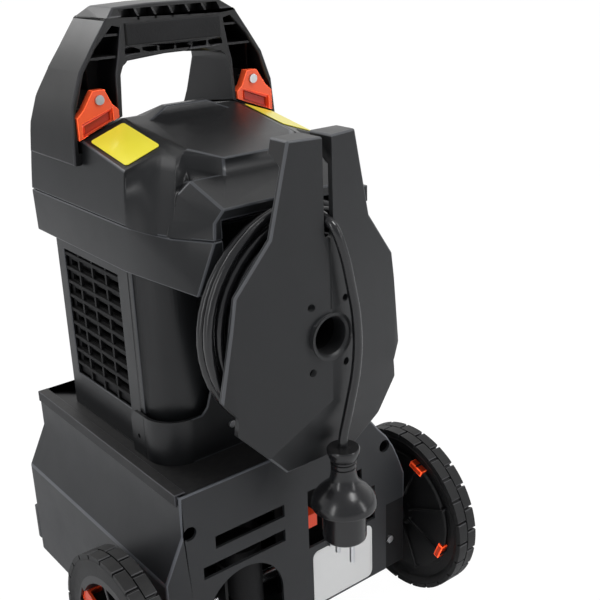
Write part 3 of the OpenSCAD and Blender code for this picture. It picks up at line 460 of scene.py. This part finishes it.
def dress(piece, node, finish_name=None):
    """The piece stands for the CAD node, rides on its body and takes its finish."""
    piece.data.materials.append(FINISHES[finish_name or slot_of[node]])
    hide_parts(node)
    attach(piece, body_of[node])


LEAST_LENGTH, LEAST_DEPTH, LEAST_CLEAR = 5, 2.0, 1.6
FINE_WELD = 0.02
FLAT_ANGLE = math.radians(0.8)
SHARP_ANGLE = math.radians(24)


def roomy(edge, width):
    """True where a round of this width fits: a long edge between broad faces, away from small features."""
    if edge.calc_length() < LEAST_LENGTH * width or len(edge.link_faces) != 2:
        return False
    deep = all(face.calc_area() / edge.calc_length() > LEAST_DEPTH * width for face in edge.link_faces)
    clear = all(near.calc_length() > LEAST_CLEAR * width for end in edge.verts for near in end.link_edges)
    return deep and clear


def joined_up(node, weld=FINE_WELD):
    """A bmesh of the CAD node with its triangles merged into whole faces and tiny steps welded shut."""
    bm = bmesh.new()
    bm.from_mesh(nodes[node].data)
    bmesh.ops.remove_doubles(bm, verts=bm.verts, dist=weld * MM)
    bmesh.ops.dissolve_limit(bm, angle_limit=FLAT_ANGLE, verts=bm.verts, edges=bm.edges)
    return bm


def smooth_between(piece, angle):
    """Smooth shading across the rounds, flat shading on the flats."""
    piece.data.shade_smooth()
    piece.data.set_sharp_from_angle(angle=math.radians(angle))
    even = piece.modifiers.new("even_normals", "WEIGHTED_NORMAL")
    even.keep_sharp = True


def bevel(bm, edges, width, segments, clamp=False):
    """Rounds the edges, the width in millimetres, and returns the new faces."""
    made = bmesh.ops.bevel(bm, geom=edges, offset=width * MM, offset_type="OFFSET", segments=segments,
                           profile=0.5, affect="EDGES", clamp_overlap=clamp, material=-1)
    return made["faces"]


def soften(node, width):
    """Puts a copy with rounded edges in the CAD node's place and returns how many edges it rounded."""
    bm = joined_up(node, WELDS.get(node, FINE_WELD))
    sharp = [edge for edge in bm.edges if roomy(edge, width * MM) and edge.is_convex
             and edge.calc_face_angle(0) > SHARP_ANGLE]
    mark = bm.faces.layers.float.new(EDGE_MARK)
    if sharp:
        # the faces of each round are marked for the painted highlight, except on the grip
        for face in bevel(bm, sharp, width, 3, node == "latch_plates"):
            face[mark] = 0.0 if node == "handle_grip" else 1.0
    piece = new_mesh_object(node + "_moulded", bm)
    smooth_between(piece, 35)
    dress(piece, node)
    return len(sharp)


WELDS = {"tower_band": 0.45, "top_cover": 0.45}
EDGES = {"base_shell": 2.0, "deck": 0.8, "front_bumper": 1.2, "rear_collar": 1.2, "tower_band": 1.4,
         "top_cover": 1.5, "front_panel": 1.0, "cord_plate": 1.8, "cord_drum": 0.8, "tower_shell": 0.8,
         "lance_holder": 0.9, "hose_hook": 1.0, "rim_left": 0.7, "rim_right": 0.7, "handle_frame": 1.8,
         "latch_plates": 0.5, "handle_grip": 1.2, "axle_brackets": 1.0, "switch_knob": 0.8, "tank_cap": 0.6,
         "hub_inserts_left": 0.9, "hub_inserts_right": 0.9, "tyre_left": 0.9, "tyre_right": 0.9}
print("rounded:", {name: soften(name, width) for name, width in EDGES.items()})

# %% [markdown]
# ## The plug
# The body of a plug is turned about one axis: a collar where the cord goes in, a neck with two grooves, a
# wide bell for the hand and a barrel that holds the pins. Half its outline is drawn as a chain of edges
# and spun about that axis.

# %% Turn the plug body
PLUG_X, PLUG_Y = -6.5, 170
PLUG_OUTLINE = [(0, 167.2), (17.3, 167.2), (18.7, 168.2), (19.2, 170), (19.2, 197.4), (27.4, 198.8),
                (28.4, 199.8), (28.6, 201.4), (28.1, 204.5), (26.8, 208.2), (24.4, 212), (20.8, 215.8),
                (16.9, 219), (14, 222), (12.3, 225.5), (11.4, 229.5), (11, 234), (11, 236.5), (9.9, 237.1),
                (9.9, 238.7), (11.2, 239.3), (11.2, 241.2), (10.1, 241.8), (10.1, 243.4), (11.4, 244),
                (12.7, 246.6), (13.7, 249.8), (14.1, 251.8), (14.1, 254.2), (13.3, 255.2), (5.4, 255.6),
                (5.4, 256.8), (0, 256.8)]


def turned(name, outline, centre, steps=48):
    """The outline, as pairs of radius and height, spun about an upright axis through the centre."""
    bm = bmesh.new()
    chain = [bm.verts.new(((centre[0] + r) * MM, centre[1] * MM, z * MM)) for r, z in outline]
    edges = [bm.edges.new(pair) for pair in zip(chain, chain[1:])]
    bmesh.ops.spin(bm, geom=chain + edges, cent=(centre[0] * MM, centre[1] * MM, 0), axis=(0, 0, 1),
                   angle=math.tau, steps=steps, use_merge=True, use_duplicate=False)
    bmesh.ops.remove_doubles(bm, verts=bm.verts, dist=0.00001)
    bmesh.ops.recalc_face_normals(bm, faces=bm.faces)
    return new_mesh_object(name, bm)


plug = turned("plug_turned", PLUG_OUTLINE, (PLUG_X, PLUG_Y))
smooth_between(plug, 42)
dress(plug, "plug_body")
print("plug:", len(plug.data.polygons), "faces")

# %% [markdown]
# ## Labels and plates
# A printed label is cut with rounded corners. Its short edges through the thickness are the corners, and
# each gets a round of a few millimetres. The labels stay bare.

# %% Cut the corners of the labels
THIN = 0.7
for name, corner in {"shoulder_labels": 3.0, "rating_plate": 3.0}.items():
    bm = joined_up(name)
    corners = [edge for edge in bm.edges if edge.calc_length() < THIN * MM]
    bevel(bm, corners, corner, 4)
    piece = new_mesh_object(name + "_cut", bm)
    smooth_between(piece, 30)
    dress(piece, name)
    print(name, "corners:", len(corners))

# %% [markdown]
# ## The cord itself
# A curve with a round bevel is a tube that never pinches, and one open spline keeps the cord in one
# piece.

# %% Lay the cord
cord_curve = bpy.data.curves.new("mains_cord", "CURVE")
cord_curve.dimensions = "3D"
cord_curve.bevel_depth = CORD_R * MM
cord_curve.bevel_resolution = 3
cord_curve.use_fill_caps = True
line = cord_curve.splines.new("POLY")
line.points.add(len(cord_line) - 1)
for point, place in zip(line.points, cord_line):
    point.co = (*place, 1)
line.use_smooth = True
mains_cord = bpy.data.objects.new("mains_cord", cord_curve)
bpy.context.scene.collection.objects.link(mains_cord)
cord_curve.materials.append(FINISHES["cord_black"])
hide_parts("cord_coil", "cord_tail")
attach(mains_cord, "chassis")
